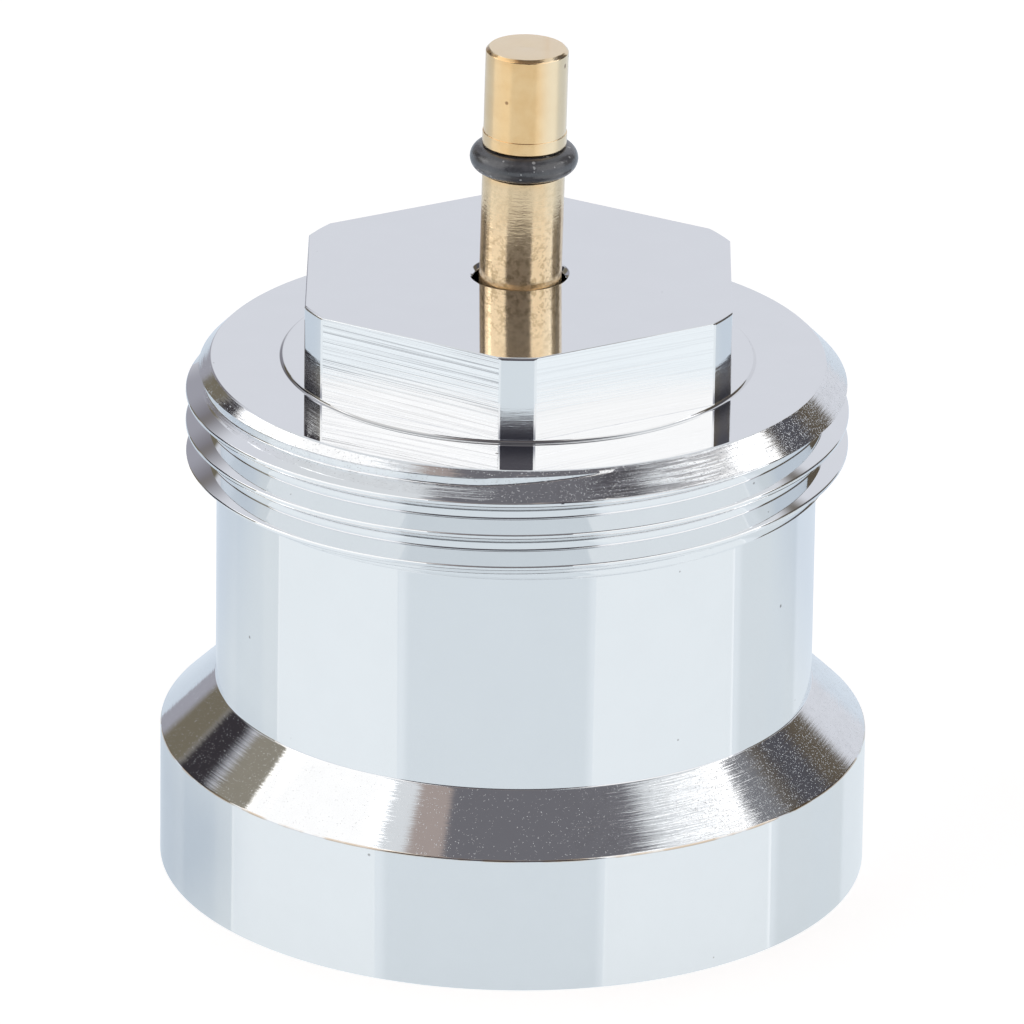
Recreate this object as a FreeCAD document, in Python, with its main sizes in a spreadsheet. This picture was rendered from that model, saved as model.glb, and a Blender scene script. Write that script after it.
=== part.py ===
# Radiator thermostat adapter.
# A hollow turned body screws onto a radiator valve with the female thread in its foot, and carries the
# thermostat head on the male M30 x 1.5 thread of its collar. A brass pin slides through the body and passes
# the head's stroke on to the valve. Millimetres, +Z up, origin on the axis at the foot's rim.
import FreeCAD, Part
import math
import os

import Sketcher
from FreeCAD import Placement, Rotation, Vector

doc = FreeCAD.newDocument("thermostat_adapter")
sheet = doc.addObject("Spreadsheet::Sheet", "dims")

# Driving dimensions
DRIVING = (
    ("foot_diameter", 32.0),
    ("foot_rim_height", 6.25),
    ("foot_cone_height", 2.4),
    ("barrel_diameter", 27.0),
    ("barrel_length", 10.05),
    ("collar_height", 5.3),
    ("collar_diameter", 29.8),
    ("collar_underside_rise", 0.8),
    ("collar_chamfer", 1.1),
    ("head_thread_diameter", 30.0),
    ("head_thread_pitch", 1.5),
    ("head_thread_end_depth", 0.48),
    ("head_thread_end_angle", 18.0),
    ("boss_diameter", 21.1),
    ("boss_step", 0.12),
    ("boss_root_fillet", 0.2),
    ("hexagon_flats", 19.0),
    ("hexagon_height", 3.88),
    ("hexagon_edge_chamfer", 0.15),
    ("socket_thread_bore", 26.5),
    ("socket_entry_chamfer", 0.9),
    ("socket_thread_length", 5.2),
    ("socket_relief_diameter", 28.4),
    ("socket_relief_width", 1.5),
    ("socket_relief_slope", 0.7),
    ("valve_seat_diameter", 26.1),
    ("cavity_diameter", 22.5),
    ("cavity_corner_chamfer", 1.0),
    ("roof_thickness", 3.6),
    ("pin_diameter", 3.7),
    ("pin_bore_clearance", 0.2),
    ("bore_mouth_chamfer", 0.2),
    ("pin_stand_out", 10.75),
    ("pin_bevel", 0.15),
    ("ring_land_drop", 3.93),
    ("ring_land_height", 0.58),
    ("ring_land_relief", 0.04),
    ("ring_section", 1.2),
    ("ring_inside_diameter", 2.45),
    ("ring_groove_clearance", 0.075),
    ("ring_seat_clearance", 0.025),
    ("pin_foot_diameter", 6.0),
    ("pin_foot_length", 8.5),
    ("pin_foot_chamfer", 0.3),
    ("pin_stop_gap", 0.2),
)

# Sizes and levels worked out from the driving dimensions
WORKED_OUT = (
    ("foot_radius", "foot_diameter / 2"),
    ("barrel_radius", "barrel_diameter / 2"),
    ("barrel_start", "foot_rim_height + foot_cone_height"),
    ("collar_start", "barrel_start + barrel_length"),
    ("collar_radius", "collar_diameter / 2"),
    ("collar_lower_rim", "collar_start + collar_underside_rise"),
    ("collar_face", "collar_start + collar_height"),
    ("collar_upper_rim", "collar_face - collar_chamfer"),
    ("collar_face_radius", "collar_radius - collar_chamfer"),
    ("head_thread_radius", "head_thread_diameter / 2"),
    ("groove_depth", "head_thread_pitch * sqrt(3) / 2 * 17 / 24"),
    ("groove_root_radius", "head_thread_radius - groove_depth"),
    ("groove_root_half", "head_thread_pitch / 8"),
    ("groove_mouth_half", "groove_root_half + groove_depth / sqrt(3)"),
    ("groove_turns", "ceil(collar_height / head_thread_pitch) + (270 + head_thread_end_angle) / 360"),
    ("groove_rise", "groove_turns * head_thread_pitch"),
    ("groove_end_level", "collar_face - head_thread_end_depth + head_thread_end_angle / 360 * head_thread_pitch"),
    ("groove_start_level", "groove_end_level - groove_rise"),
    ("groove_root_low", "groove_start_level - groove_root_half"),
    ("groove_root_high", "groove_start_level + groove_root_half"),
    ("groove_mouth_low", "groove_start_level - groove_mouth_half"),
    ("groove_mouth_high", "groove_start_level + groove_mouth_half"),
    ("boss_radius", "boss_diameter / 2"),
    ("boss_level", "collar_face + boss_step"),
    ("hexagon_top", "boss_level + hexagon_height"),
    ("hexagon_edge_radius", "boss_radius - hexagon_edge_chamfer"),
    ("hexagon_edge_level", "hexagon_top - hexagon_edge_chamfer"),
    ("socket_radius", "socket_thread_bore / 2"),
    ("socket_mouth_radius", "socket_radius + socket_entry_chamfer"),
    ("relief_radius", "socket_relief_diameter / 2"),
    ("socket_shoulder", "socket_thread_length + socket_relief_width"),
    ("relief_slope_level", "socket_shoulder - socket_relief_slope"),
    ("valve_seat_radius", "valve_seat_diameter / 2"),
    ("cavity_radius", "cavity_diameter / 2"),
    ("roof_level", "collar_face - roof_thickness"),
    ("roof_edge_radius", "cavity_radius - cavity_corner_chamfer"),
    ("cavity_wall_top", "roof_level - cavity_corner_chamfer"),
    ("bore_radius", "pin_diameter / 2 + pin_bore_clearance"),
    ("bore_mouth_radius", "bore_radius + bore_mouth_chamfer"),
    ("bore_mouth_level", "hexagon_top - bore_mouth_chamfer"),
    ("pin_radius", "pin_diameter / 2"),
    ("pin_tip", "hexagon_top + pin_stand_out"),
    ("pin_bevel_level", "pin_tip - pin_bevel"),
    ("pin_bevel_radius", "pin_radius - pin_bevel"),
    ("land_radius", "pin_radius + ring_land_relief"),
    ("land_top", "pin_tip - ring_land_drop"),
    ("groove_top", "land_top - ring_land_height"),
    ("ring_radius", "ring_section / 2"),
    ("ring_level", "groove_top - ring_groove_clearance - ring_radius"),
    ("groove_bottom", "ring_level - ring_radius - ring_groove_clearance"),
    ("groove_radius", "ring_inside_diameter / 2 - ring_seat_clearance"),
    ("ring_centre_radius", "ring_inside_diameter / 2 + ring_radius"),
    ("pin_foot_radius", "pin_foot_diameter / 2"),
    ("pin_foot_top", "roof_level - pin_stop_gap"),
    ("pin_foot_base", "pin_foot_top - pin_foot_length"),
    ("pin_foot_edge_radius", "pin_foot_radius - pin_foot_chamfer"),
    ("pin_foot_edge_level", "pin_foot_base + pin_foot_chamfer"),
)

ZERO = "0"


def fill_sheet():
    """Writes the dimensions into the sheet, each under its own name."""
    row = 0
    for name, value in DRIVING:
        row += 1
        sheet.set(f"A{row}", str(value))
        sheet.setAlias(f"A{row}", name)
    for name, formula in WORKED_OUT:
        row += 1
        sheet.set(f"A{row}", "=" + formula)
        sheet.setAlias(f"A{row}", name)
    doc.recompute()


def size(name):
    return float(getattr(sheet, name))


def plane_of(body, role):
    """One of the body's own origin planes."""
    return next(item for item in body.Origin.OriginFeatures if item.Role == role)


def new_body(name):
    body = doc.addObject("PartDesign::Body", name)
    body.Label = name
    body.Placement = Placement(Vector(0, 0, 0), Rotation())
    return body


def new_sketch(body, name, role):
    sketch = body.newObject("Sketcher::SketchObject", name)
    sketch.AttachmentSupport = (plane_of(body, role), "")
    sketch.MapMode = "FlatFace"
    return sketch


def tie(sketch, kind, line, end, expression, value):
    """Fixes one coordinate of a line's end to an expression of the sheet."""
    if value == 0:
        axis = -2 if kind == "DistanceX" else -1
        sketch.addConstraint(Sketcher.Constraint("PointOnObject", line, end, axis))
        return
    index = sketch.addConstraint(Sketcher.Constraint(kind, -1, 1, line, end, value))
    sketch.setExpression(f"Constraints[{index}]", expression)


def closed_outline(sketch, corners):
    """Draws a closed outline of straight lines whose corners are (across, up) pairs of (expression, value)."""
    first = sketch.GeometryCount
    points = [Vector(across[1], up[1], 0) for across, up in corners]
    for start, end in zip(points, points[1:] + points[:1]):
        sketch.addGeometry(Part.LineSegment(start, end), False)
    for step, (across, up) in enumerate(corners):
        line = first + step
        before = first + (step - 1) % len(corners)
        sketch.addConstraint(Sketcher.Constraint("Coincident", before, 2, line, 1))
        tie(sketch, "DistanceX", line, 1, *across)
        tie(sketch, "DistanceY", line, 1, *up)


def named(name):
    """The sheet's value of that name, as (expression, value)."""
    if name == ZERO:
        return ZERO, 0
    return f"dims.{name}", size(name)


def turned_solid(body, name, corners):
    """Revolves an outline of (radius, level) names about the body's own Z axis."""
    sketch = new_sketch(body, name + "_outline", "XZ_Plane")
    closed_outline(sketch, [(named(radius), named(level)) for radius, level in corners])
    turned = body.newObject("PartDesign::Revolution", name)
    turned.Profile = sketch
    turned.ReferenceAxis = (sketch, ["V_Axis"])
    turned.Angle = 360
    doc.recompute()
    return turned


def circles_at(shape, radius, level):
    """Names of the shape's round edges of that radius at that level."""
    found = []
    for number, edge in enumerate(shape.Edges, 1):
        if not isinstance(edge.Curve, Part.Circle):
            continue
        same_radius = abs(edge.Curve.Radius - radius) < 1e-4
        if same_radius and abs(edge.Curve.Center.z - level) < 1e-4:
            found.append(f"Edge{number}")
    return found


def rounded(body, base, name, radius_name, level_name, fillet_name):
    """Rounds the base feature's circular edge of the named radius and level."""
    fillet = body.newObject("PartDesign::Fillet", name)
    fillet.Base = (base, circles_at(base.Shape, size(radius_name), size(level_name)))
    fillet.setExpression("Radius", f"dims.{fillet_name}")
    doc.recompute()
    return fillet


# Adapter body, turned in one piece
def make_adapter_body():
    body = new_body("adapter_body")
    turned = turned_solid(body, "turned_blank", (
        ("socket_mouth_radius", ZERO),
        ("foot_radius", ZERO),
        ("foot_radius", "foot_rim_height"),
        ("barrel_radius", "barrel_start"),
        ("barrel_radius", "collar_start"),
        ("collar_radius", "collar_lower_rim"),
        ("collar_radius", "collar_upper_rim"),
        ("collar_face_radius", "collar_face"),
        ("boss_radius", "collar_face"),
        ("boss_radius", "hexagon_edge_level"),
        ("hexagon_edge_radius", "hexagon_top"),
        ("bore_mouth_radius", "hexagon_top"),
        ("bore_radius", "bore_mouth_level"),
        ("bore_radius", "roof_level"),
        ("roof_edge_radius", "roof_level"),
        ("cavity_radius", "cavity_wall_top"),
        ("cavity_radius", "socket_shoulder"),
        ("valve_seat_radius", "socket_shoulder"),
        ("relief_radius", "relief_slope_level"),
        ("relief_radius", "socket_thread_length"),
        ("socket_radius", "socket_thread_length"),
        ("socket_radius", "socket_entry_chamfer"),
    ))
    rounded(body, turned, "boss_root", "boss_radius", "collar_face", "boss_root_fillet")
    mill_hexagon(body)
    cut_head_thread(body)
    return body


def mill_hexagon(body):
    """Mills six flats into the round boss and leaves its foot as a low round step."""
    sketch = new_sketch(body, "hexagon_outline", "XY_Plane")
    sketch.setExpression("AttachmentOffset.Base.z", "dims.boss_level")
    corner_radius = size("hexagon_flats") / math.sqrt(3)
    corners = []
    for turn in range(-90, 270, 60):
        across = math.cos(math.radians(turn)) * corner_radius
        up = math.sin(math.radians(turn)) * corner_radius
        corners.append((
            (f"dims.hexagon_flats / sqrt(3) * cos({turn})", 0 if turn in (-90, 90) else across),
            (f"dims.hexagon_flats / sqrt(3) * sin({turn})", up),
        ))
    closed_outline(sketch, corners)
    reach = size("collar_radius")
    ring = sketch.addGeometry(Part.Circle(Vector(0, 0, 0), Vector(0, 0, 1), reach), False)
    sketch.addConstraint(Sketcher.Constraint("Coincident", ring, 3, -1, 1))
    limit = sketch.addConstraint(Sketcher.Constraint("Radius", ring, reach))
    sketch.setExpression(f"Constraints[{limit}]", "dims.collar_radius")
    milled = body.newObject("PartDesign::Pocket", "hexagon_flats_milled")
    milled.Profile = sketch
    milled.Type = "Length"
    milled.Reversed = True
    milled.setExpression("Length", "dims.hexagon_height + dims.boss_step")
    doc.recompute()
    return milled


def cut_head_thread(body):
    """Cuts the male thread as a true right-hand helix that starts in the free space under the collar."""
    sketch = new_sketch(body, "head_thread_groove", "XZ_Plane")
    closed_outline(sketch, [(named(radius), named(level)) for radius, level in (
        ("groove_root_radius", "groove_root_low"),
        ("head_thread_radius", "groove_mouth_low"),
        ("head_thread_radius", "groove_mouth_high"),
        ("groove_root_radius", "groove_root_high"),
    )])
    thread = body.newObject("PartDesign::SubtractiveHelix", "head_thread")
    thread.Profile = sketch
    thread.ReferenceAxis = (sketch, ["V_Axis"])
    thread.Mode = "pitch-turns-angle"
    thread.setExpression("Pitch", "dims.head_thread_pitch")
    thread.setExpression("Turns", "dims.groove_turns")
    thread.LeftHanded = False
    doc.recompute()
    return thread


# Push pin, turned from brass rod
def make_push_pin():
    body = new_body("push_pin")
    turned_solid(body, "turned_pin", (
        (ZERO, "pin_foot_base"),
        ("pin_foot_edge_radius", "pin_foot_base"),
        ("pin_foot_radius", "pin_foot_edge_level"),
        ("pin_foot_radius", "pin_foot_top"),
        ("pin_radius", "pin_foot_top"),
        ("pin_radius", "groove_bottom"),
        ("groove_radius", "groove_bottom"),
        ("groove_radius", "groove_top"),
        ("land_radius", "groove_top"),
        ("land_radius", "land_top"),
        ("pin_radius", "land_top"),
        ("pin_radius", "pin_bevel_level"),
        ("pin_bevel_radius", "pin_tip"),
        (ZERO, "pin_tip"),
    ))
    return body


# Rubber ring in the pin's groove
def make_o_ring():
    ring = doc.addObject("Part::Torus", "o_ring")
    ring.Label = "o_ring"
    ring.setExpression("Radius1", "dims.ring_centre_radius")
    ring.setExpression("Radius2", "dims.ring_radius")
    ring.setExpression("Placement.Base.z", "dims.ring_level")
    doc.recompute()
    return ring


def faults(parts):
    """What is wrong with the document's objects and the parts' shapes, in words."""
    found = []
    for item in doc.Objects:
        if "Invalid" in item.State or "Error" in item.State:
            found.append(f"{item.Label} is {item.State}")
    for part in parts:
        if part.Shape.isNull() or not part.Shape.isValid() or len(part.Shape.Solids) != 1:
            found.append(f"{part.Label} is not one valid solid")
    return found


fill_sheet()
parts = [make_adapter_body(), make_push_pin(), make_o_ring()]
doc.recompute()
problems = faults(parts)
if problems:
    raise SystemExit("; ".join(problems))
os.makedirs("parts", exist_ok=True)
for part in parts:
    part.Shape.exportStep(f"parts/{part.Label}.step")
    print(part.Label, round(part.Shape.Volume, 2), "cubic mm", part.Shape.BoundBox)
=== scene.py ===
import math

import bpy
from mathutils import Matrix, Vector


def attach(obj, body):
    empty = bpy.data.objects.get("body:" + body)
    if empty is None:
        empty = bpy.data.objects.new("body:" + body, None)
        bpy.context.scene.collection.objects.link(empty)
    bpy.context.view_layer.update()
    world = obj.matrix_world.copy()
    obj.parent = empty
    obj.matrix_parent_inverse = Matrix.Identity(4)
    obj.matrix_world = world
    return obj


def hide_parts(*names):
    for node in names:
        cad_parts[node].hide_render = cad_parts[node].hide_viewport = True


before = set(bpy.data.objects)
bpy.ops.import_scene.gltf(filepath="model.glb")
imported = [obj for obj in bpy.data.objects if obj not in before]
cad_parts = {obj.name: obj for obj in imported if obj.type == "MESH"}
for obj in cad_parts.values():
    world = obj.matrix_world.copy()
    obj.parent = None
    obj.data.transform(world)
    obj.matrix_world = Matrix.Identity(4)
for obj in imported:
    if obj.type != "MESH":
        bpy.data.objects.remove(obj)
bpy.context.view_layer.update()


# Adapter body: one turned brass part with a bright chrome plating. The lathe makes the foot, the barrel, the
# threaded collar and the round boss, then a mill cuts six flats into the boss. The foot's female thread screws
# onto the radiator valve, and the collar's male thread carries the thermostat head.
# Sizes are in millimetres, angles in degrees.
MM = 0.001
TURN = math.tau
BODY_STEPS = 288
BODY_SHARP_ANGLE = 32
EDGE_BREAK = 0.05
FOOT_RADIUS = 16.0
FOOT_RIM_TOP = 6.25
BARREL_RADIUS = 13.5
BARREL_START = 8.65
COLLAR_START = 18.7
COLLAR_RADIUS = 14.9
COLLAR_LOWER_RIM = 19.5
COLLAR_UPPER_RIM = 22.9
COLLAR_FACE = 24.0
COLLAR_FACE_RADIUS = 13.8
BOSS_RADIUS = 10.55
BOSS_LEDGE = 24.12
BOSS_ROOT_FILLET = 0.2
HEXAGON_FLATS = 19.0
HEXAGON_TOP = 28.0
HEXAGON_CORNER_CHAMFER = 0.09
HEXAGON_EDGE_BREAK = 0.05
HEXAGON_EDGE_STEPS = ((0.02, 0.006), (0.015, 0.012), (0.015, 0.032), (0.02, 0.03))
MILL_ABOVE_TOP = 2
MILL_WIDENING = 1.4
BORE_RADIUS = 2.05
BORE_MOUTH_CHAMFER = 0.2
ROOF_LEVEL = 20.4
CAVITY_RADIUS = 11.25
CAVITY_CORNER = 1.0
SOCKET_RADIUS = 13.25
SOCKET_ENTRY = 0.9
SOCKET_THREAD_END = 5.2
RELIEF_RADIUS = 14.2
RELIEF_SLOPE_LEVEL = 6.0
VALVE_SEAT_RADIUS = 13.05
VALVE_SEAT_LEVEL = 6.7
THREAD_PITCH = 1.5
THREAD_STEPS_A_TURN = 240


def only(piece):
    """Leaves just this piece selected and active."""
    bpy.ops.object.select_all(action="DESELECT")
    piece.select_set(True)
    bpy.context.view_layer.objects.active = piece


def softened(outline, radius, steps=4):
    """Breaks every corner of a closed outline of (radius, level) points with a small round."""
    nearly_straight = math.radians(165)
    rounded = []
    for number, corner in enumerate(outline):
        here = Vector(corner)
        before = Vector(outline[number - 1]) - here
        after = Vector(outline[(number + 1) % len(outline)]) - here
        if before.angle(after) > nearly_straight:
            rounded.append(here)
            continue
        reach = min(radius, 0.4 * before.length, 0.4 * after.length)
        start = here + before.normalized() * reach
        end = here + after.normalized() * reach
        for step in range(steps + 1):
            share = step / steps
            rounded.append(start.lerp(here, share).lerp(here.lerp(end, share), share))
    return rounded


def first_ring(corners, radius, level):
    """A new object with one ring of edges at a level, selected in edit mode."""
    bpy.ops.object.select_all(action="DESELECT")
    bpy.ops.mesh.primitive_circle_add(vertices=corners, radius=radius * MM, location=(0, 0, level * MM))
    piece = bpy.context.active_object
    bpy.ops.object.transform_apply(location=True)
    bpy.ops.object.mode_set(mode="EDIT")
    bpy.ops.mesh.select_all(action="SELECT")
    return piece


def next_ring(rise, factor=None, level=None):
    """Extrudes the selected ring by a rise and, where a factor is given, resizes it at its new level."""
    bpy.ops.mesh.extrude_edges_move(TRANSFORM_OT_translate={"value": (0, 0, rise * MM)})
    if factor is not None:
        bpy.ops.transform.resize(value=(factor, factor, 1), center_override=(0, 0, level * MM))


def faced_outwards():
    """Turns the faces of the solid in edit mode outwards, and leaves that mode."""
    bpy.ops.mesh.select_all(action="SELECT")
    bpy.ops.mesh.normals_make_consistent(inside=False)
    bpy.ops.object.mode_set(mode="OBJECT")


def made_solid(bridged):
    """Closes the wall in edit mode: its first and last ring are bridged, or each is filled."""
    bpy.ops.mesh.select_all(action="DESELECT")
    bpy.ops.mesh.select_mode(type="EDGE")
    bpy.ops.mesh.select_non_manifold()
    if bridged:
        bpy.ops.mesh.bridge_edge_loops()
    else:
        bpy.ops.mesh.fill_holes(sides=0)
    faced_outwards()


def turned(name, outline, steps, closed):
    """Turns a solid: a ring is extruded from point to point of the (radius, level) outline."""
    radius, level = outline[0]
    piece = first_ring(steps, radius, level)
    piece.name = name
    for next_radius, next_level in outline[1:]:
        next_ring(next_level - level, next_radius / radius, next_level)
        radius, level = next_radius, next_level
    made_solid(bridged=closed)
    return piece


def cut_away(piece, cutter):
    """Cuts one solid out of another and throws the cutter away."""
    only(piece)
    cut = piece.modifiers.new("cut", "BOOLEAN")
    cut.operation = "DIFFERENCE"
    cut.solver = "EXACT"
    cut.object = cutter
    bpy.ops.object.modifier_apply(modifier="cut")
    bpy.data.objects.remove(cutter)


def hexagon_cutter():
    """The ring that a mill takes off the boss: six-sided inside, and a little narrower at the very top."""
    cutter = first_ring(6, HEXAGON_FLATS / math.sqrt(3), BOSS_LEDGE)
    next_ring(HEXAGON_TOP - HEXAGON_EDGE_BREAK - BOSS_LEDGE)
    level = HEXAGON_TOP - HEXAGON_EDGE_BREAK
    width = HEXAGON_FLATS
    for rise, inward in HEXAGON_EDGE_STEPS:
        level += rise
        factor = (width - 2 * inward) / width
        width -= 2 * inward
        next_ring(rise, factor, level)
    next_ring(MILL_ABOVE_TOP)
    next_ring(0, MILL_WIDENING, level + MILL_ABOVE_TOP)
    next_ring(-(level + MILL_ABOVE_TOP - BOSS_LEDGE))
    made_solid(bridged=True)
    return cutter


def thread_cutter(section, start_level, turns):
    """A right-hand helical ridge, from the +X side upwards. The section is a ring of (radius, rise) points."""
    bpy.ops.object.select_all(action="DESELECT")
    bpy.ops.mesh.primitive_circle_add(vertices=len(section), radius=MM)
    cutter = bpy.context.active_object
    for point, (radius, rise) in zip(cutter.data.vertices, section):
        point.co = (radius * MM, 0, (start_level + rise) * MM)
    helix = cutter.modifiers.new("helix", "SCREW")
    helix.axis = "Z"
    helix.angle = TURN * turns
    helix.screw_offset = THREAD_PITCH * turns * MM
    helix.steps = round(THREAD_STEPS_A_TURN * turns)
    helix.render_steps = helix.steps
    helix.use_smooth_shade = False
    bpy.ops.object.modifier_apply(modifier="helix")
    bpy.ops.object.mode_set(mode="EDIT")
    bpy.ops.mesh.select_all(action="SELECT")
    bpy.ops.mesh.fill_holes(sides=len(section))
    faced_outwards()
    return cutter


def smoothed(piece, sharp_angle):
    """Smooth shading that keeps sharp edges, with normals that follow the large faces."""
    only(piece)
    bpy.ops.object.shade_smooth_by_angle(angle=math.radians(sharp_angle))
    weighted = piece.modifiers.new("weighted", "WEIGHTED_NORMAL")
    weighted.mode = "FACE_AREA_WITH_ANGLE"
    weighted.keep_sharp = True
    bpy.ops.object.modifier_apply(modifier="weighted")


fillet = [
    (BOSS_RADIUS + BOSS_ROOT_FILLET * (1 - math.sin(math.radians(turn))),
     COLLAR_FACE + BOSS_ROOT_FILLET * (1 - math.cos(math.radians(turn))))
    for turn in (0, 18, 36, 54, 72, 90)
]
body_outline = softened([
    (SOCKET_RADIUS + SOCKET_ENTRY, 0),
    (FOOT_RADIUS, 0),
    (FOOT_RADIUS, FOOT_RIM_TOP),
    (BARREL_RADIUS, BARREL_START),
    (BARREL_RADIUS, COLLAR_START),
    (COLLAR_RADIUS, COLLAR_LOWER_RIM),
    (COLLAR_RADIUS, COLLAR_UPPER_RIM),
    (COLLAR_FACE_RADIUS, COLLAR_FACE),
    *fillet,
    (BOSS_RADIUS, HEXAGON_TOP - HEXAGON_CORNER_CHAMFER),
    (BOSS_RADIUS - HEXAGON_CORNER_CHAMFER, HEXAGON_TOP),
    (BORE_RADIUS + BORE_MOUTH_CHAMFER, HEXAGON_TOP),
    (BORE_RADIUS, HEXAGON_TOP - BORE_MOUTH_CHAMFER),
    (BORE_RADIUS, ROOF_LEVEL),
    (CAVITY_RADIUS - CAVITY_CORNER, ROOF_LEVEL),
    (CAVITY_RADIUS, ROOF_LEVEL - CAVITY_CORNER),
    (CAVITY_RADIUS, VALVE_SEAT_LEVEL),
    (VALVE_SEAT_RADIUS, VALVE_SEAT_LEVEL),
    (RELIEF_RADIUS, RELIEF_SLOPE_LEVEL),
    (RELIEF_RADIUS, SOCKET_THREAD_END),
    (SOCKET_RADIUS, SOCKET_THREAD_END),
    (SOCKET_RADIUS, SOCKET_ENTRY),
], EDGE_BREAK)
body = turned("turned_body", body_outline, BODY_STEPS, closed=True)
cut_away(body, hexagon_cutter())

# Head thread M30 x 1.5: the groove has a small round at its root and rounded crests. In front it runs out into
# the chamfer: over the last of it the root and the upper flank rise, so that the cut thins to a point.
HEAD_THREAD_TURNS = 3.806
HEAD_THREAD_END = 23.6
RUN_OUT_TURN = 0.0739
RUN_OUT_RISE = 0.45
RUN_OUT_INWARD = 0.12
ROOT_RADIUS = 14.08
ROOT_FIRST_POINT = 4
ROOT_LAST_POINT = 9
head_section = [
    (15.0, -0.735), (14.905, -0.705), (14.888, -0.68), (14.86, -0.638), (14.13, -0.2164), (14.092, -0.178),
    (ROOT_RADIUS, -0.13), (ROOT_RADIUS, 0.13), (14.092, 0.178), (14.13, 0.2164), (14.86, 0.638),
    (14.888, 0.68), (14.905, 0.705), (15.0, 0.735),
]
head_groove = thread_cutter(head_section, HEAD_THREAD_END - HEAD_THREAD_TURNS * THREAD_PITCH, HEAD_THREAD_TURNS)
points_a_ring = len(head_section)
rings = len(head_groove.data.vertices) // points_a_ring - 1
for number, point in enumerate(head_groove.data.vertices):
    ring_number, place_in_section = divmod(number, points_a_ring)
    left = (1 - ring_number / rings) * HEAD_THREAD_TURNS
    if left < RUN_OUT_TURN and place_in_section >= ROOT_FIRST_POINT:
        share = 1 - left / RUN_OUT_TURN
        point.co.z += RUN_OUT_RISE * share * MM
        if place_in_section <= ROOT_LAST_POINT:
            radius = math.hypot(point.co.x, point.co.y)
            inward = 1 - RUN_OUT_INWARD * share * MM / radius
            point.co.x *= inward
            point.co.y *= inward
cut_away(body, head_groove)

# Valve thread M28 x 1.5, inside the foot
VALVE_THREAD_TURNS = 5
VALVE_THREAD_END = 5.75
valve_section = [(13.0, -0.683), (14.02, -0.094), (14.02, 0.094), (13.0, 0.683)]
valve_groove = thread_cutter(valve_section, VALVE_THREAD_END - VALVE_THREAD_TURNS * THREAD_PITCH, VALVE_THREAD_TURNS)
cut_away(body, valve_groove)
smoothed(body, BODY_SHARP_ANGLE)


def socket_of(tree, target, value):
    """Feeds a node's input from another node's output, or sets it to a plain value."""
    if isinstance(value, bpy.types.NodeSocket):
        tree.links.new(value, target)
    else:
        target.default_value = value


def add_node(tree, kind, inputs=None, **settings):
    """Adds a node with its settings, then fills the inputs by name or number."""
    made = tree.nodes.new(kind)
    for name, value in settings.items():
        setattr(made, name, value)
    for name, value in (inputs or {}).items():
        socket_of(tree, made.inputs[name], value)
    return made


def maths(tree, operation, first, second=0.0, *others, clamp=False):
    """One operation over two or more values, from the left to the right."""
    for value in (second, *others):
        first = add_node(tree, "ShaderNodeMath", {0: first, 1: value}, operation=operation, use_clamp=clamp).outputs[0]
    return first


def raised(tree, base, parts):
    """A base value plus some masks, each times its weight."""
    for mask, weight in parts:
        base = maths(tree, "ADD", base, maths(tree, "MULTIPLY", mask, weight))
    return base


def ramp(tree, value, low, high, low_out=0.0, high_out=1.0):
    """A smooth step from one value to another."""
    made = add_node(tree, "ShaderNodeMapRange", {0: value, 1: low, 2: high, 3: low_out, 4: high_out},
                    interpolation_type="SMOOTHSTEP")
    return made.outputs[0]


def band(tree, value, low, high, soft):
    """One between two values and nought outside them, with soft ends."""
    rising = ramp(tree, value, low - soft, low + soft)
    falling = ramp(tree, value, high - soft, high + soft, 1.0, 0.0)
    return maths(tree, "MULTIPLY", rising, falling)


def mixed(tree, share, first, second):
    """A blend of two colours by a share."""
    made = add_node(tree, "ShaderNodeMix", {0: share}, data_type="RGBA")
    socket_of(tree, made.inputs[6], first)
    socket_of(tree, made.inputs[7], second)
    return made.outputs[2]


def layered(tree, colour, layers):
    """Lays colours over a first one, each by its share."""
    for share, layer in layers:
        colour = mixed(tree, share, colour, layer)
    return colour


def noise(tree, place, scale, detail=2.0, roughness=0.5, w=None):
    """Soft noise round 0.5, in three dimensions or, with a w, in four."""
    made = add_node(tree, "ShaderNodeTexNoise", {"Vector": place, "Scale": scale, "Detail": detail,
                                                 "Roughness": roughness},
                    noise_dimensions="3D" if w is None else "4D")
    if w is not None:
        socket_of(tree, made.inputs["W"], w)
    return made.outputs["Fac"]


def stretched_noise(tree, place, scales, detail, roughness):
    """Soft noise with a scale of its own along each axis."""
    stretched = add_node(tree, "ShaderNodeMapping", {"Vector": place, "Scale": scales})
    return noise(tree, stretched.outputs[0], 1.0, detail, roughness)


def new_group(name, inputs, outputs):
    """An empty shader node group with its sockets, each of them given as a name and a kind."""
    group = bpy.data.node_groups.new(name, "ShaderNodeTree")
    for label, kind in inputs:
        group.interface.new_socket(label, in_out="INPUT", socket_type=kind)
    for label, kind in outputs:
        group.interface.new_socket(label, in_out="OUTPUT", socket_type=kind)
    entry = group.nodes.new("NodeGroupInput")
    leave = group.nodes.new("NodeGroupOutput")
    return group, entry, leave


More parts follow.
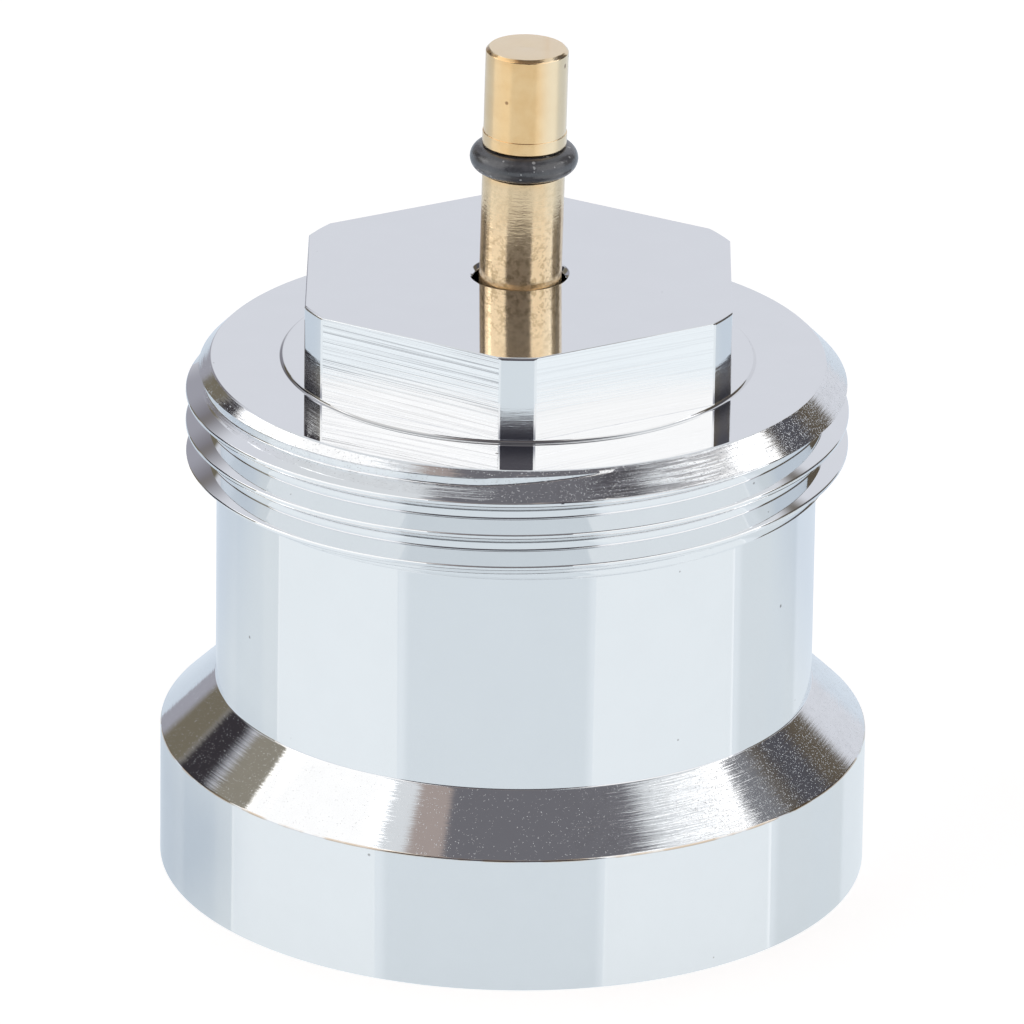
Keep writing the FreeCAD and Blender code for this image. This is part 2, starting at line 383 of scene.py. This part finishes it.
# Lathe marks: fine rings that follow the radius and the level, and fade in and out round the axis.
turning_marks, entry, leave = new_group(
    "turning_marks",
    [("Place", "NodeSocketVector"), ("Rings per metre", "NodeSocketFloat"), ("Waver", "NodeSocketFloat")],
    [("Height", "NodeSocketFloat"), ("Radius", "NodeSocketFloat"), ("Level", "NodeSocketFloat"),
     ("Side", "NodeSocketFloat")])
axes = add_node(turning_marks, "ShaderNodeSeparateXYZ", {0: entry.outputs["Place"]})
flat = add_node(turning_marks, "ShaderNodeCombineXYZ", {0: axes.outputs[0], 1: axes.outputs[1]})
length = add_node(turning_marks, "ShaderNodeVectorMath", {0: flat.outputs[0]}, operation="LENGTH").outputs["Value"]
safe = maths(turning_marks, "MAXIMUM", length, 1e-6)
across = maths(turning_marks, "DIVIDE", axes.outputs[0], safe)
along = maths(turning_marks, "DIVIDE", axes.outputs[1], safe)
rings_per_metre = entry.outputs["Rings per metre"]
waver = entry.outputs["Waver"]
spread = add_node(turning_marks, "ShaderNodeCombineXYZ", {
    0: maths(turning_marks, "MULTIPLY", length, rings_per_metre),
    1: maths(turning_marks, "MULTIPLY", axes.outputs[2], rings_per_metre),
    2: maths(turning_marks, "MULTIPLY", across, waver)})
marks = noise(turning_marks, spread.outputs[0], 1.0, 3.0, 0.65, w=maths(turning_marks, "MULTIPLY", along, waver))
turning_marks.links.new(marks, leave.inputs["Height"])
turning_marks.links.new(length, leave.inputs["Radius"])
turning_marks.links.new(axes.outputs[2], leave.inputs["Level"])
turning_marks.links.new(axes.outputs[0], leave.inputs["Side"])

# Specks: small round spots of dirt or dust, strewn thinly.
SPOT_STEEPNESS = 12.0
specks, entry, leave = new_group(
    "specks",
    [("Place", "NodeSocketVector"), ("Spots per metre", "NodeSocketFloat"), ("Size", "NodeSocketFloat"),
     ("Share", "NodeSocketFloat")],
    [("Mask", "NodeSocketFloat")])
cells = add_node(specks, "ShaderNodeTexVoronoi",
                 {"Vector": entry.outputs["Place"], "Scale": entry.outputs["Spots per metre"]})
chance = add_node(specks, "ShaderNodeSeparateColor", {0: cells.outputs["Color"]})
chosen = maths(specks, "LESS_THAN", chance.outputs[0], entry.outputs["Share"])
spot_size = maths(specks, "MULTIPLY", entry.outputs["Size"], chance.outputs[1])
inside = maths(specks, "SUBTRACT", spot_size, cells.outputs["Distance"])
spot = maths(specks, "MULTIPLY", inside, SPOT_STEEPNESS, clamp=True)
specks.links.new(maths(specks, "MULTIPLY", spot, chosen), leave.inputs["Mask"])


def new_material(name):
    """A material with just its Principled shader, and the object's coordinates."""
    material = bpy.data.materials.new(name)
    material.use_nodes = True
    tree = material.node_tree
    shader = next(item for item in tree.nodes if item.type == "BSDF_PRINCIPLED")
    place = add_node(tree, "ShaderNodeTexCoord").outputs["Object"]
    return material, tree, shader, place


def use_group(tree, group, inputs):
    """Adds a node that runs one of the groups above."""
    made = tree.nodes.new("ShaderNodeGroup")
    made.node_tree = group
    for name, value in inputs.items():
        socket_of(tree, made.inputs[name], value)
    return made


def finished(tree, shader, colour, roughness, height, depth):
    """Gives a Principled shader its colour, its roughness and a relief of a depth in metres."""
    tree.links.new(colour, shader.inputs["Base Color"])
    tree.links.new(roughness, shader.inputs["Roughness"])
    relief = add_node(tree, "ShaderNodeBump", {"Height": height, "Strength": 1.0, "Distance": depth})
    tree.links.new(relief.outputs[0], shader.inputs["Normal"])


def put_on(piece, material):
    """Makes this the piece's one material."""
    piece.data.materials.clear()
    piece.data.materials.append(material)


chrome, tree, shader, place = new_material("bright_chrome_plating")
fine = use_group(tree, turning_marks, {"Place": place, "Rings per metre": 9000.0, "Waver": 5.0})
coarse = use_group(tree, turning_marks, {"Place": place, "Rings per metre": 2600.0, "Waver": 1.4})
radius, level, side = fine.outputs["Radius"], fine.outputs["Level"], fine.outputs["Side"]

# Chrome, where: masks for the faces that look different. Radii, levels and sides (towards +X) are in metres.
on_foot_cone = maths(tree, "MULTIPLY", band(tree, level, 0.00628, 0.00862, 0.00003),
                     ramp(tree, radius, 0.01352, 0.01354))
on_chamfer = maths(tree, "MULTIPLY", band(tree, level, 0.0229, 0.02398, 0.00003),
                   ramp(tree, radius, 0.0138, 0.01385))
on_flats = maths(tree, "MULTIPLY", band(tree, level, 0.02414, 0.02797, 0.00001),
                 band(tree, radius, 0.0093, 0.01052, 0.00001))
on_corners = maths(tree, "MULTIPLY", ramp(tree, level, 0.0253, 0.0262, 1.0, 0.0),
                   ramp(tree, radius, 0.01052, 0.01054), ramp(tree, level, 0.02412, 0.02418))
cone_brushed = maths(tree, "MULTIPLY", on_foot_cone, ramp(tree, side, 0.001, 0.004, 0.2, 0.7))
chamfer_brushed = maths(tree, "MULTIPLY", on_chamfer, 0.7)
brushed = maths(tree, "MAXIMUM", cone_brushed, chamfer_brushed)

# Chrome, mill marks: lines on the flats that run nearly level, since the mill feeds at a slight slant.
axes = add_node(tree, "ShaderNodeSeparateXYZ", {0: place})
feed = add_node(tree, "ShaderNodeVectorMath", {0: place, 1: (0.0173, -0.01, 1.0)}, operation="DOT_PRODUCT")
slanted = add_node(tree, "ShaderNodeCombineXYZ",
                   {0: axes.outputs[0], 1: axes.outputs[1], 2: feed.outputs["Value"]}).outputs[0]
mill_lines = stretched_noise(tree, slanted, (40, 40, 13000), 3.0, 0.6)
fine_lines = stretched_noise(tree, slanted, (80, 80, 27000), 2.0, 0.6)

# Chrome, colour: a cloudy plating that is brighter on the flats, with specks of dirt, painted shade in the crease at
# the hexagon's root, brass that shows at the foot's worn rim, dark scores, painted dark reflections on the chamfer,
# scuffs, and painted shade at the foot of the corner facets.
clouds = noise(tree, place, 500.0, 3.0, 0.55)
dirt = use_group(tree, specks, {"Place": place, "Spots per metre": 1100.0, "Size": 0.13, "Share": 0.08})
dirty = dirt.outputs["Mask"]
# Painted shade in the crease at the hexagon's root, darker on the left than on the right.
painted_crease_shade = maths(tree, "MULTIPLY", band(tree, radius, 0.01053, 0.01069, 0.00003),
                  band(tree, level, 0.02395, 0.02411, 0.00002), ramp(tree, side, 0.001, 0.006, 0.45, 0.12))
worn_rim = maths(tree, "MULTIPLY", band(tree, level, 0.00620, 0.00629, 0.00002),
                 ramp(tree, clouds, 0.38, 0.55), 0.6)
mill_scores = maths(tree, "MULTIPLY", ramp(tree, mill_lines, 0.565, 0.60),
                    ramp(tree, level, 0.0249, 0.0258, 0.15, 1.0))
fine_scores = maths(tree, "MULTIPLY", ramp(tree, fine_lines, 0.54, 0.62), 0.5)
scored_flats = maths(tree, "MULTIPLY", on_flats, ramp(tree, side, -0.001, 0.001, 1.0, 0.16))
scored = maths(tree, "MULTIPLY", maths(tree, "MAXIMUM", mill_scores, fine_scores), scored_flats, 0.6)
# Painted dark reflections on the chamfer, in stripes along the fine lathe rings, 3.5 to 9.2 mm right of the axis.
painted_dark_streaks = maths(tree, "MULTIPLY", ramp(tree, fine.outputs["Height"], 0.42, 0.56),
                band(tree, side, 0.0035, 0.0092, 0.0009), chamfer_brushed)
scuffs = maths(tree, "MULTIPLY", ramp(tree, noise(tree, place, 1500.0, 4.0, 0.7), 0.42, 0.62, 0.0, 0.12), brushed)
# Painted shade: the boss's corner facets darken towards their foot at the ledge.
painted_corner_shade = maths(tree, "MULTIPLY", on_corners, ramp(tree, level, 0.0242, 0.0251, 0.75, 0.0))
plating = mixed(tree, ramp(tree, clouds, 0.2, 0.8), (0.872, 0.877, 0.883, 1), (0.884, 0.889, 0.895, 1))
shade = layered(tree, plating, (
    (on_flats, (0.965, 0.967, 0.97, 1)),
    (dirty, (0.16, 0.14, 0.13, 1)),
    (painted_crease_shade, (0.10, 0.09, 0.09, 1)),
    (worn_rim, (0.55, 0.36, 0.17, 1)),
    (scored, (0.26, 0.26, 0.28, 1)),
    (painted_dark_streaks, (0.24, 0.23, 0.24, 1)),
    (scuffs, (0.42, 0.41, 0.41, 1)),
    (painted_corner_shade, (0.16, 0.17, 0.22, 1)),
))

# Chrome, surface: how rough each face is, and a relief of lathe rings, mill lines and small glints.
polish = raised(tree, 0.028, ((brushed, 0.10), (on_flats, 0.11), (on_corners, 0.16), (dirty, 0.4)))
lathe_depth = raised(tree, 0.015, ((brushed, 0.85), (on_corners, 0.8)))
lathe = raised(tree, maths(tree, "MULTIPLY", fine.outputs["Height"], lathe_depth),
               ((coarse.outputs["Height"], maths(tree, "MULTIPLY", brushed, 1.1)),))
mill = maths(tree, "MULTIPLY", mill_lines, maths(tree, "MULTIPLY", on_flats, 0.8))
rough_chamfer = maths(tree, "MULTIPLY", on_chamfer, ramp(tree, side, 0.0, 0.006, 0.3, 1.0))
rough_cone = maths(tree, "MULTIPLY", on_foot_cone, ramp(tree, side, 0.007, 0.009, 0.0, 0.6))
rougher = maths(tree, "MAXIMUM", rough_chamfer, rough_cone)
glint_start = maths(tree, "SUBTRACT", 0.70, maths(tree, "MULTIPLY", rougher, 0.08))
glints = ramp(tree, noise(tree, place, 14000.0, 1.0), glint_start, maths(tree, "ADD", glint_start, 0.08))
glint = maths(tree, "MULTIPLY", glints, maths(tree, "MULTIPLY", brushed, 1.6))
shader.inputs["Metallic"].default_value = 1.0
finished(tree, shader, shade, polish, maths(tree, "ADD", lathe, mill, glint), 0.000012)

put_on(body, chrome)
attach(body, "adapter")
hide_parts("adapter_body")


# Push pin: turned from brass rod. It stands out of the hexagon, runs down through its bore, and ends in a wider
# foot under the roof of the cavity. A groove under its thicker land holds the rubber ring.
PIN_STEPS = 128
PIN_EDGE_BREAK = 0.035
PIN_LEAN = 0.9
PIN_AXIS = 0.001
PIN_RADIUS = 1.85
PIN_TIP = 38.75
PIN_BEVEL = 0.15
LAND_RADIUS = 1.89
LAND_TOP = 34.82
GROOVE_RADIUS = 1.2
GROOVE_TOP = 34.24
RING_LEVEL = 33.565
RING_SECTION_RADIUS = 0.6
RING_CENTRE_RADIUS = 1.825
GROOVE_BOTTOM = RING_LEVEL - RING_SECTION_RADIUS - 0.075
PIN_FOOT_RADIUS = 3.0
PIN_FOOT_BASE = 11.7
PIN_FOOT_TOP = 20.2
PIN_FOOT_CHAMFER = 0.3

# The two ends on the axis are broken like the other corners, and the slice drops the half that turns inwards.
pin_outline = softened([
    (PIN_AXIS, PIN_FOOT_BASE),
    (PIN_FOOT_RADIUS - PIN_FOOT_CHAMFER, PIN_FOOT_BASE),
    (PIN_FOOT_RADIUS, PIN_FOOT_BASE + PIN_FOOT_CHAMFER),
    (PIN_FOOT_RADIUS, PIN_FOOT_TOP),
    (PIN_RADIUS, PIN_FOOT_TOP),
    (PIN_RADIUS, GROOVE_BOTTOM),
    (GROOVE_RADIUS, GROOVE_BOTTOM),
    (GROOVE_RADIUS, GROOVE_TOP),
    (LAND_RADIUS, GROOVE_TOP),
    (LAND_RADIUS, LAND_TOP),
    (PIN_RADIUS, LAND_TOP),
    (PIN_RADIUS, PIN_TIP - PIN_BEVEL),
    (PIN_RADIUS - PIN_BEVEL, PIN_TIP),
    (PIN_AXIS, PIN_TIP),
], PIN_EDGE_BREAK)[2:-2]
pin = turned("brass_pin", pin_outline, PIN_STEPS, closed=False)


def leaned(piece):
    """Leans a piece a little to the right about the middle of the bore, as the loose pin stands in the photo."""
    middle = Vector((0, 0, (ROOF_LEVEL + HEXAGON_TOP) / 2)) * MM
    lean = Matrix.Rotation(math.radians(PIN_LEAN), 4, "Y")
    piece.data.transform(Matrix.Translation(middle) @ lean @ Matrix.Translation(-middle))


leaned(pin)
smoothed(pin, BODY_SHARP_ANGLE)

brass, tree, shader, place = new_material("turned_brass")
fine = use_group(tree, turning_marks, {"Place": place, "Rings per metre": 11000.0, "Waver": 3.0})
coarse = use_group(tree, turning_marks, {"Place": place, "Rings per metre": 3500.0, "Waver": 1.5})
level, side = fine.outputs["Level"], fine.outputs["Side"]

# Brass, colour: two tones in patches, paler in a painted sheen down the pin's right side, fainter down its left and on
# its tip, paler where its lower part has a haze, and mottled and stained above the bore.
patches = noise(tree, place, 700.0, 4.0, 0.6)
spots = use_group(tree, specks, {"Place": place, "Spots per metre": 1500.0, "Size": 0.3, "Share": 0.05})
low_part = band(tree, level, 0.0270, 0.03285, 0.00035)
# Painted sheen: paler down the pin's right side, half as much down its left, and on its tip. The paler haze on the
# lower part is its own tone.
haze_and_painted_sheen = maths(tree, "MAXIMUM", ramp(tree, side, 0.0005, 0.0014), ramp(tree, level, 0.03872, 0.03874),
             ramp(tree, side, -0.0007, -0.0016, 0.0, 0.5), maths(tree, "MULTIPLY", low_part, 0.65))
mottled = maths(tree, "MULTIPLY", ramp(tree, noise(tree, place, 3200.0, 4.0, 0.75), 0.48, 0.58),
                ramp(tree, level, 0.0286, 0.0318, 0.52, 0.12), low_part)
tone = mixed(tree, ramp(tree, patches, 0.35, 0.7), (0.98, 0.67, 0.35, 1), (0.92, 0.59, 0.28, 1))
tone = layered(tree, tone, (
    (maths(tree, "MULTIPLY", haze_and_painted_sheen, 0.7), (0.98, 0.85, 0.63, 1)),
    (mottled, (0.38, 0.27, 0.12, 1)),
    (maths(tree, "MULTIPLY", spots.outputs["Mask"], 0.7), (0.20, 0.09, 0.04, 1)),
))

tree.links.new(ramp(tree, low_part, 0.0, 1.0, 1.0, 0.74), shader.inputs["Metallic"])
satin = raised(tree, 0.10, ((patches, 0.12),))
turned_rings = raised(tree, fine.outputs["Height"], ((coarse.outputs["Height"], 1.5),))
finished(tree, shader, tone, satin, turned_rings, 0.000008)

put_on(pin, brass)
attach(pin, "pin")
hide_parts("push_pin")


# Rubber ring: a moulded black O-ring, stretched into the pin's groove. It has the thin parting line that the two
# halves of its mould leave, and a little pale dust.
RING_SECTION_STEPS = 40
RING_SHARP_ANGLE = 60
PARTING_LINE_HEIGHT = 0.004
PARTING_LINE_START = 0.99

bpy.ops.object.select_all(action="DESELECT")
bpy.ops.mesh.primitive_torus_add(
    major_segments=PIN_STEPS, minor_segments=RING_SECTION_STEPS, major_radius=RING_CENTRE_RADIUS * MM,
    minor_radius=(RING_SECTION_RADIUS - PARTING_LINE_HEIGHT) * MM, location=(0, 0, RING_LEVEL * MM))
ring = bpy.context.active_object
ring.name = "rubber_ring"
bpy.ops.object.transform_apply(location=True)
line_radius = (RING_CENTRE_RADIUS + RING_SECTION_RADIUS * PARTING_LINE_START) * MM
for point in ring.data.vertices:
    outside = math.hypot(point.co.x, point.co.y) - line_radius
    if outside > 0:
        point.co += Vector((point.co.x, point.co.y, 0)).normalized() * PARTING_LINE_HEIGHT * MM
leaned(ring)
smoothed(ring, RING_SHARP_ANGLE)

rubber, tree, shader, place = new_material("black_rubber")
grain = noise(tree, place, 5000.0, 3.0, 0.6)
haze = noise(tree, place, 900.0, 4.0, 0.6)
dust = use_group(tree, specks, {"Place": place, "Spots per metre": 5200.0, "Size": 0.5, "Share": 0.2})
tone = mixed(tree, ramp(tree, haze, 0.35, 0.75), (0.052, 0.051, 0.056, 1), (0.115, 0.112, 0.12, 1))
tone = mixed(tree, maths(tree, "MULTIPLY", dust.outputs["Mask"], 0.8), tone, (0.5, 0.5, 0.5, 1))
shader.inputs["Specular IOR Level"].default_value = 1.0
finished(tree, shader, tone, raised(tree, 0.12, ((haze, 0.2),)), grain, 0.000012)

put_on(ring, rubber)
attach(ring, "pin")
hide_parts("o_ring")


# Table: a glossy pale board under the part. The camera sees it white with the part's soft shadow, and the
# chrome sees its pale blue tone and the two soft lamps that it mirrors. It lies a hair lower than the foot's rim,
# so that the two faces don't share a plane.
TABLE_SIZE = 6.0
TABLE_DROP = 0.02

bpy.ops.object.select_all(action="DESELECT")
bpy.ops.mesh.primitive_plane_add(size=TABLE_SIZE, location=(0, 0, -TABLE_DROP * MM))
table = bpy.context.active_object
table.name = "table"
board = bpy.data.materials.new("white_board")
board.use_nodes = True
tree = board.node_tree
tree.nodes.remove(next(item for item in tree.nodes if item.type == "BSDF_PRINCIPLED"))
out = next(item for item in tree.nodes if item.type == "OUTPUT_MATERIAL")
matt = add_node(tree, "ShaderNodeBsdfDiffuse", {"Color": (0.27, 0.29, 0.31, 1)})
gloss = add_node(tree, "ShaderNodeBsdfGlossy", {"Color": (0.138, 0.13, 0.122, 1), "Roughness": 0.03})
coated = add_node(tree, "ShaderNodeAddShader", {0: matt.outputs[0], 1: gloss.outputs[0]})

# The glow is darker and bluer behind the part, a painted shade, and darker close to its left, a painted shadow of the
# part.
board_place = add_node(tree, "ShaderNodeTexCoord").outputs["Object"]
axes = add_node(tree, "ShaderNodeSeparateXYZ", {0: board_place})
from_part = add_node(tree, "ShaderNodeVectorMath", {0: board_place}, operation="LENGTH").outputs["Value"]
# Painted shade in the glow: darker and bluer towards the rear, with a painted shadow close to the part's left.
painted_shade_at_rear = ramp(tree, axes.outputs[1], 0.008, 0.032)
painted_shadow_beside = maths(tree, "MULTIPLY", ramp(tree, axes.outputs[0], -0.002, -0.010),
               ramp(tree, axes.outputs[1], -0.012, -0.003), ramp(tree, from_part, 0.020, 0.034, 1.0, 0.0))
glow_colour = mixed(tree, painted_shade_at_rear, (0.55, 0.603, 0.635, 1), (0.44, 0.505, 0.575, 1))
glow_colour = mixed(tree, painted_shadow_beside, glow_colour, (0.38, 0.44, 0.50, 1))
glow = add_node(tree, "ShaderNodeEmission", {"Color": glow_colour, "Strength": 1.0})
seen_in_metal = add_node(tree, "ShaderNodeAddShader", {0: coated.outputs[0], 1: glow.outputs[0]})

plain = add_node(tree, "ShaderNodeBsdfDiffuse", {"Color": (0.55, 0.55, 0.56, 1)})
white = add_node(tree, "ShaderNodeEmission", {"Color": (1, 0.975, 0.95, 1), "Strength": 0.72})
seen_by_camera = add_node(tree, "ShaderNodeAddShader", {0: plain.outputs[0], 1: white.outputs[0]})
path = add_node(tree, "ShaderNodeLightPath")
surface = add_node(tree, "ShaderNodeMixShader", {0: path.outputs["Is Camera Ray"], 1: seen_in_metal.outputs[0],
                                                2: seen_by_camera.outputs[0]})
tree.links.new(surface.outputs[0], out.inputs["Surface"])
table.data.materials.append(board)


# Room: a pale wall behind, a dark room around the camera and overhead, and darker corners behind the lamps.
# The colours are those that the chrome mirrors; the camera itself sees plain white. Azimuths count in degrees
# from the camera's side, with the right as plus, and elevations from the horizon. A lamp is given by its azimuth
# and elevation, and by its width and height in metres. The room is black behind it, but for a narrow edge.
LAMP_LEFT = (-74, 36, 0.93, 0.76)
LAMP_RIGHT = (62, 32, 1.0, 0.70)
LAMP_DISTANCE = 0.9
LAMP_EDGE = 0.015
LAMP_WINDOWS = [(azimuth, elevation, wide / 2 / LAMP_DISTANCE - LAMP_EDGE, tall / 2 / LAMP_DISTANCE - LAMP_EDGE)
                for azimuth, elevation, wide, tall in (LAMP_LEFT, LAMP_RIGHT)]


def direction(azimuth, elevation):
    """The unit vector from the part towards an azimuth and an elevation."""
    turn, lift = math.radians(azimuth), math.radians(elevation)
    return Vector((math.sin(turn) * math.cos(lift), -math.cos(turn) * math.cos(lift), math.sin(lift)))


world = bpy.data.worlds.new("studio")
bpy.context.scene.world = world
world.use_nodes = True
tree = world.node_tree
tree.nodes.clear()
way = add_node(tree, "ShaderNodeTexCoord").outputs["Generated"]
axes = add_node(tree, "ShaderNodeSeparateXYZ", {0: way})
side, back, up = axes.outputs[0], axes.outputs[1], axes.outputs[2]
towards = maths(tree, "MULTIPLY", back, -1.0)
azimuth = maths(tree, "MULTIPLY", maths(tree, "ARCTAN2", side, towards), 360 / TURN)
height = maths(tree, "MULTIPLY", maths(tree, "ARCSINE", up), 360 / TURN)

# Walls: the pale wall, its shaded stretch at the rear left, and the darker patches. A patch has a colour, two
# azimuths and their softness, and two elevations and theirs.
colour = mixed(tree, ramp(tree, height, 38, 52), (0.725, 0.745, 0.805, 1), (0.74, 0.77, 0.80, 1))
shaded_wall = maths(tree, "MULTIPLY", ramp(tree, azimuth, -172, -160), ramp(tree, azimuth, -150, -140, 1.0, 0.0),
                    ramp(tree, height, 29, 36, 1.0, 0.0))
shaded_tone = mixed(tree, ramp(tree, height, 14, 24), (0.36, 0.36, 0.41, 1), (0.21, 0.20, 0.22, 1))
colour = mixed(tree, shaded_wall, colour, shaded_tone)
for colour_patch, azimuths, elevations in (
    ((0.12, 0.10, 0.075, 1), (97, 139, 2), (-5, 41, 3)),
    ((0.20, 0.205, 0.225, 1), (97, 114, 3), (32, 46, 3)),
    ((0.085, 0.085, 0.10, 1), (116, 129, 2), (10, 34, 3)),
    ((0.28, 0.26, 0.215, 1), (-122, -97, 2), (-5, 42, 3)),
    ((0.04, 0.036, 0.042, 1), (-137, -113.5, 2.5), (8, 28.5, 3)),
    ((0.18, 0.16, 0.12, 1), (-149, -136, 2), (-5, 24, 3)),
):
    patch = maths(tree, "MULTIPLY", band(tree, azimuth, *azimuths), band(tree, height, *elevations))
    colour = mixed(tree, patch, colour, colour_patch)

# Overhead: a dark ceiling with a tan edge on its left and a paler beam, measured on a plane at height one.
above = maths(tree, "MAXIMUM", up, 0.02)
overhead_across = maths(tree, "DIVIDE", side, above)
overhead_towards = maths(tree, "DIVIDE", towards, above)
tan_edge = maths(tree, "MULTIPLY", band(tree, overhead_across, -0.42, -0.25, 0.02),
                 band(tree, overhead_towards, 0.05, 2.0, 0.05))
overhead = maths(tree, "MULTIPLY", band(tree, overhead_across, -0.27, 0.56, 0.015),
                 band(tree, overhead_towards, -0.16, 9.0, 0.04))
beam = maths(tree, "MULTIPLY", overhead, band(tree, overhead_towards, 0.52, 0.80, 0.05))
low_front = maths(tree, "MULTIPLY", band(tree, azimuth, -42, 29, 2), ramp(tree, height, 40, 55, 1.0, 0.0))
colour = layered(tree, colour, (
    (tan_edge, (0.40, 0.34, 0.32, 1)),
    (overhead, (0.165, 0.163, 0.182, 1)),
    (beam, (0.36, 0.32, 0.30, 1)),
    (low_front, (0.082, 0.078, 0.092, 1)),
))

for azimuth_angle, elevation_angle, half_width, half_tall in LAMP_WINDOWS:
    forward = direction(azimuth_angle, elevation_angle)
    right = forward.cross(Vector((0, 0, 1))).normalized()
    forwards, sideways, upwards = (
        add_node(tree, "ShaderNodeVectorMath", {0: way, 1: axis}, operation="DOT_PRODUCT").outputs["Value"]
        for axis in (forward, right, right.cross(forward))
    )
    ahead = maths(tree, "MAXIMUM", forwards, 0.05)
    window = maths(tree, "MULTIPLY",
                   band(tree, maths(tree, "DIVIDE", sideways, ahead), -half_width, half_width, 0.01),
                   band(tree, maths(tree, "DIVIDE", upwards, ahead), -half_tall, half_tall, 0.01),
                   ramp(tree, forwards, 0.1, 0.2))
    colour = mixed(tree, window, colour, (0, 0, 0, 1))
lit = add_node(tree, "ShaderNodeBackground", {"Color": colour, "Strength": 1.0})
blank = add_node(tree, "ShaderNodeBackground", {"Color": (1, 1, 1, 1), "Strength": 1.0})
path = add_node(tree, "ShaderNodeLightPath")
seen = add_node(tree, "ShaderNodeMixShader", {0: path.outputs["Is Camera Ray"], 1: lit.outputs[0],
                                             2: blank.outputs[0]})
add_node(tree, "ShaderNodeOutputWorld", {0: seen.outputs[0]})


# Lamps: one large soft box on each side.
LAMP_AIM = 0.012


def panel(name, size_x, size_y, radiance):
    """A flat rectangular light, with sizes in metres, that looks as bright as its radiance."""
    data = bpy.data.lights.new(name, "AREA")
    data.shape = "RECTANGLE"
    data.size = size_x
    data.size_y = size_y
    data.energy = radiance * math.pi * size_x * size_y
    made = bpy.data.objects.new(name, data)
    bpy.context.scene.collection.objects.link(made)
    return made


def soft_box(name, azimuth, elevation, width, tall, radiance):
    """A lamp at the lamps' distance from the part, and facing it."""
    lamp = panel(name, width, tall, radiance)
    where = direction(azimuth, elevation)
    lamp.location = where * LAMP_DISTANCE + Vector((0, 0, LAMP_AIM))
    lamp.rotation_euler = (-where).to_track_quat("-Z", "Y").to_euler()


soft_box("lamp_left", *LAMP_LEFT, 1.13)
soft_box("lamp_right", *LAMP_RIGHT, 1.10)


# Cards: a small white card close to each side, which only the collar's chamfer mirrors.
def card(name, across, along, height, width, tall, radiance):
    """A small glowing card in a plane across the X axis. Places and sizes are in millimetres."""
    made = panel(name, tall * MM, width * MM, radiance)
    made.location = Vector((across, along, height)) * MM
    made.rotation_euler = (0, math.copysign(math.pi / 2, across), 0)


card("card_right", 59.5, 7, 64.6, 16, 15, 1.7)
card("card_left", -57, 15.7, 59.5, 28.6, 19, 1.1)


# Camera: a long lens, 22 degrees above the table and turned by less than a degree, as in the photograph.
CAMERA_ELEVATION = 21.988
CAMERA_TURN = 0.784
CAMERA_AIM = (-0.171, 0, 16.461)
CAMERA_DISTANCE = 0.55713

eye = bpy.data.cameras.new("camera")
eye.sensor_width = 36
eye.lens = 434.33
eye.clip_start = 0.01
camera = bpy.data.objects.new("camera", eye)
bpy.context.scene.collection.objects.link(camera)
tilt = Matrix.Rotation(math.radians(90 - CAMERA_ELEVATION), 4, "X")
look = tilt @ Matrix.Rotation(math.radians(CAMERA_TURN), 4, "Z")
stand_back = look.to_3x3() @ Vector((0, 0, CAMERA_DISTANCE))
camera.matrix_world = Matrix.Translation(Vector(CAMERA_AIM) * MM + stand_back) @ look
bpy.context.scene.camera = camera
bpy.context.scene.view_settings.view_transform = "Standard"
